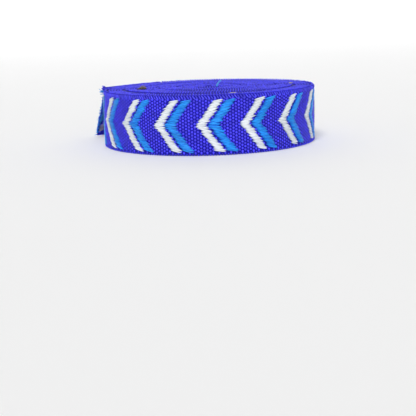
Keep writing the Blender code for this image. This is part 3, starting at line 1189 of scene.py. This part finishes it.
class WEBBING_OT_edges(bpy.types.Operator):
    """Lays the weft's loops over both edges of every turn"""

    bl_idname = "webbing.edges"
    bl_label = "Selvedges"

    def execute(self, context):
        tape, weave = tape_sizes(), weave_sizes()
        lay_edges("top_selvedge", tape, weave, False)
        lay_edges("under_selvedge", tape, weave, True)
        for name, foot in (("top_rim", False), ("foot_rim", True)):
            lay_rim(name, tape, weave, step_place(tape), leave_place(tape), foot)
        return {"FINISHED"}


def lay_fibres(name, count, start, end, scatter, turn, spread, size, bend, tint, seed):
    """A few or many bent fibres between two places. size is their length and their radius."""
    return grow(name, bpy.data.node_groups.get("Loose Fibres") or fibre_tree(), {
        "Count": count,
        "Start": start,
        "End": end,
        "Scatter": scatter,
        "Turn": turn,
        "Spread": spread,
        "Fibre Length": size[0],
        "Fibre Radius": size[1],
        "Bend": bend,
        "Seed": seed,
        "Material": materials()[tint],
    })


def lay_fray(tape):
    """The frayed cut: short yarn ends all along it, and two tufts at its top. The rows are in millimetres."""
    cut, middle = cut_place(tape), -0.5 * tape.ground
    rows = (
        {"name": "cut_fray", "count": 110, "foot": 0.4, "head": 24.6, "length": 1.1, "radius": 0.09,
         "scatter": 0.45, "spread": 0.45, "tint": "azure_yarn"},
        {"name": "cut_fray_blue", "count": 70, "foot": 0.6, "head": 24.4, "length": 0.8, "radius": 0.10,
         "scatter": 0.4, "spread": 0.6, "tint": "ground_yarn"},
        {"name": "corner_tuft", "count": 80, "foot": 23.5, "head": 24.4, "length": 2.0, "radius": 0.10,
         "scatter": 0.45, "spread": 0.75, "tint": "ground_yarn"},
        {"name": "upper_tuft", "count": 22, "foot": 22.6, "head": 23.2, "length": 3.1, "radius": 0.09,
         "scatter": 0.3, "spread": 0.3, "tint": "azure_yarn"},
    )
    pieces = []
    for seed, row in enumerate(rows):
        scatter = row["scatter"] * MM
        piece = lay_fibres(
            row["name"], row["count"], (cut - 0.3 * MM, row["foot"] * MM, middle),
            (cut - 0.3 * MM, row["head"] * MM, middle), (0.3 * scatter, scatter, scatter),
            (0.0, 0.0, 0.0), (3.0, row["spread"], row["spread"]), (row["length"] * MM, row["radius"] * MM),
            0.25, row["tint"], seed,
        )
        flat = points_of(piece.data)
        move_points(piece.data, on_loose_end(tape, flat[:, 0], flat[:, 1], flat[:, 2]))
        dress(piece)
        pieces.append(piece)
    return pieces


class WEBBING_OT_lint(bpy.types.Operator):
    """Drops the lint and the stray fibres on the roll's top"""

    bl_idname = "webbing.lint"
    bl_label = "Lint"

    def execute(self, context):
        # The rows are in millimetres, and their turns in radians
        top = tape_sizes().width / MM
        rows = (
            # Painted shade: the lint's foot is laid in the lint's shaded colour, for the shade under the clump
            {"name": "dark_lint", "count": 30, "start": (-31.9, -9.6, top + 0.3), "end": (-29.2, -9.6, top + 0.5),
             "scatter": (0.3, 0.5, 0.15), "turn": (0.0, 0.0, 0.1), "spread": (3.0, 0.25, 0.8), "size": (1.3, 0.10),
             "bend": 0.4, "tint": "dark_lint"},
            {"name": "brown_lint", "count": 46, "start": (-31.0, -9.4, top + 0.6), "end": (-28.4, -9.4, top + 0.9),
             "scatter": (0.3, 0.5, 0.3), "turn": (0.0, 0.0, 0.2), "spread": (3.0, 0.5, 1.4), "size": (1.3, 0.09),
             "bend": 0.5, "tint": "lint"},
            {"name": "lint_peak", "count": 16, "start": (-29.9, -9.3, top + 1.0), "end": (-29.6, -9.3, top + 1.5),
             "scatter": (0.3, 0.3, 0.25), "turn": (0.0, 0.0, 0.9), "spread": (3.0, 0.6, 0.8), "size": (1.0, 0.09),
             "bend": 0.5, "tint": "lint"},
            {"name": "azure_stray", "count": 3, "start": (3.7, -5.0, top + 0.2), "end": (4.0, -4.8, top + 0.3),
             "scatter": (0.1, 0.2, 0.1), "turn": (0.0, -0.26, 1.32), "spread": (0.2, 0.05, 0.04),
             "size": (6.3, 0.20), "bend": 0.08, "tint": "azure_yarn"},
            {"name": "cream_fibres", "count": 3, "start": (8.3, -45.6, top + 0.3), "end": (8.6, -45.4, top + 0.35),
             "scatter": (0.2, 0.1, 0.05), "turn": (0.0, 0.0, 0.12), "spread": (0.3, 0.05, 0.08), "size": (1.9, 0.10),
             "bend": 0.1, "tint": "cream_lint"},
            {"name": "right_fibres", "count": 5, "start": (36.6, -2.5, top + 0.5), "end": (37.6, -2.9, top + 0.5),
             "scatter": (0.3, 0.3, 0.2), "turn": (0.0, 0.0, -0.6), "spread": (0.5, 0.3, 0.6), "size": (1.0, 0.12),
             "bend": 0.3, "tint": "cream_lint"},
        )
        for seed, row in enumerate(rows):
            piece = lay_fibres(
                row["name"], row["count"], *([part * MM for part in row[key]] for key in ("start", "end", "scatter")),
                row["turn"], row["spread"], [part * MM for part in row["size"]], row["bend"], row["tint"], 20 + seed,
            )
            dress(piece)
        return {"FINISHED"}


def loose_cloth(tape, columns=64, rows=50):
    """The loose end under its yarns: one closed sheet from where it leaves the roll to its cut."""
    along = np.linspace(leave_place(tape), cut_place(tape), columns + 1)
    up = np.linspace(0.0, tape.width, rows + 1)
    grid_along, grid_up = (grid.ravel() for grid in np.meshgrid(along, up, indexing="ij"))
    outer, inner = (
        on_loose_end(tape, grid_along, grid_up, np.full(grid_up.size, out)) for out in (-HOLLOW, HOLLOW - tape.ground)
    )
    count = len(outer)
    faces = []
    for i in range(columns):
        for j in range(rows):
            a, b = i * (rows + 1) + j, (i + 1) * (rows + 1) + j
            faces.append((a, b, b + 1, a + 1))
            faces.append((count + a, count + a + 1, count + b + 1, count + b))
    rim = (
        [i * (rows + 1) for i in range(columns + 1)]
        + [columns * (rows + 1) + j for j in range(1, rows + 1)]
        + [i * (rows + 1) + rows for i in range(columns - 1, -1, -1)]
        + [j for j in range(rows - 1, 0, -1)]
    )
    for a, b in zip(rim, rim[1:] + rim[:1]):
        faces.append((a, count + a, count + b, b))
    return np.concatenate([outer, inner]), faces


class WEBBING_OT_loose_end(bpy.types.Operator):
    """Builds the loose end as a sheet, with its ground and raised threads"""

    bl_idname = "webbing.loose_end"
    bl_label = "Loose End"

    def execute(self, context):
        tape, weave = tape_sizes(), weave_sizes()
        points, faces = loose_cloth(tape)
        # Its dark cloth is painted shade between the loose end's yarns
        piece = add_object("loose_cloth", plain_mesh("loose_cloth", points, faces, materials()["deep_cloth"]))
        dress(piece)
        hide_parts(LOOSE_NODE)
        extras = [
            lay_ground("loose_ground", tape, weave, leave_place(tape), cut_place(tape), False),
            lay_ground("loose_back_ground", tape, weave, leave_place(tape), cut_place(tape), True),
        ]
        for name, reverse in (("loose_", False), ("loose_back_", True)):
            for tint in ("white", "azure"):
                extras.append(lay_floats(name + tint, tape, weave, tint, *LOOSE_REPEATS, LOOSE_SLOT, reverse))
        extras += lay_fray(tape)
        for name, foot in (("loose_top_rim", False), ("loose_foot_rim", True)):
            extras += lay_rim(name, tape, weave, leave_place(tape), cut_place(tape), foot)
        return {"FINISHED"}


OPERATORS = (
    WEBBING_OT_stage,
    WEBBING_OT_wound_turns,
    WEBBING_OT_ground,
    WEBBING_OT_floats,
    WEBBING_OT_edges,
    WEBBING_OT_loose_end,
    WEBBING_OT_lint,
)
GROUPS = (
    (TapeSizes, "webbing_tape"),
    (WeaveSizes, "webbing_weave"),
    (ClothColours, "webbing_colours"),
)


class WEBBING_PT_panel(bpy.types.Panel):
    """Lists the sizes, the colours and the pieces"""

    bl_label = "Webbing Roll"
    bl_space_type = "VIEW_3D"
    bl_region_type = "UI"
    bl_category = "Webbing"

    def draw(self, context):
        for group, name in GROUPS:
            box = self.layout.box()
            for field in group.__annotations__:
                box.prop(getattr(context.scene, name), field)
        for operator in OPERATORS:
            self.layout.operator(operator.bl_idname)


def register():
    for group, name in GROUPS:
        bpy.utils.register_class(group)
        setattr(bpy.types.Scene, name, PointerProperty(type=group))
    for operator in OPERATORS:
        bpy.utils.register_class(operator)
    bpy.utils.register_class(WEBBING_PT_panel)


def unregister():
    bpy.utils.unregister_class(WEBBING_PT_panel)
    for operator in reversed(OPERATORS):
        bpy.utils.unregister_class(operator)
    for group, name in reversed(GROUPS):
        delattr(bpy.types.Scene, name)
        bpy.utils.unregister_class(group)


def main():
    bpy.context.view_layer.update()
    register()
    for operator in OPERATORS:
        area, name = operator.bl_idname.split(".")
        getattr(getattr(bpy.ops, area), name)()


if __name__ == "__main__":
    main()
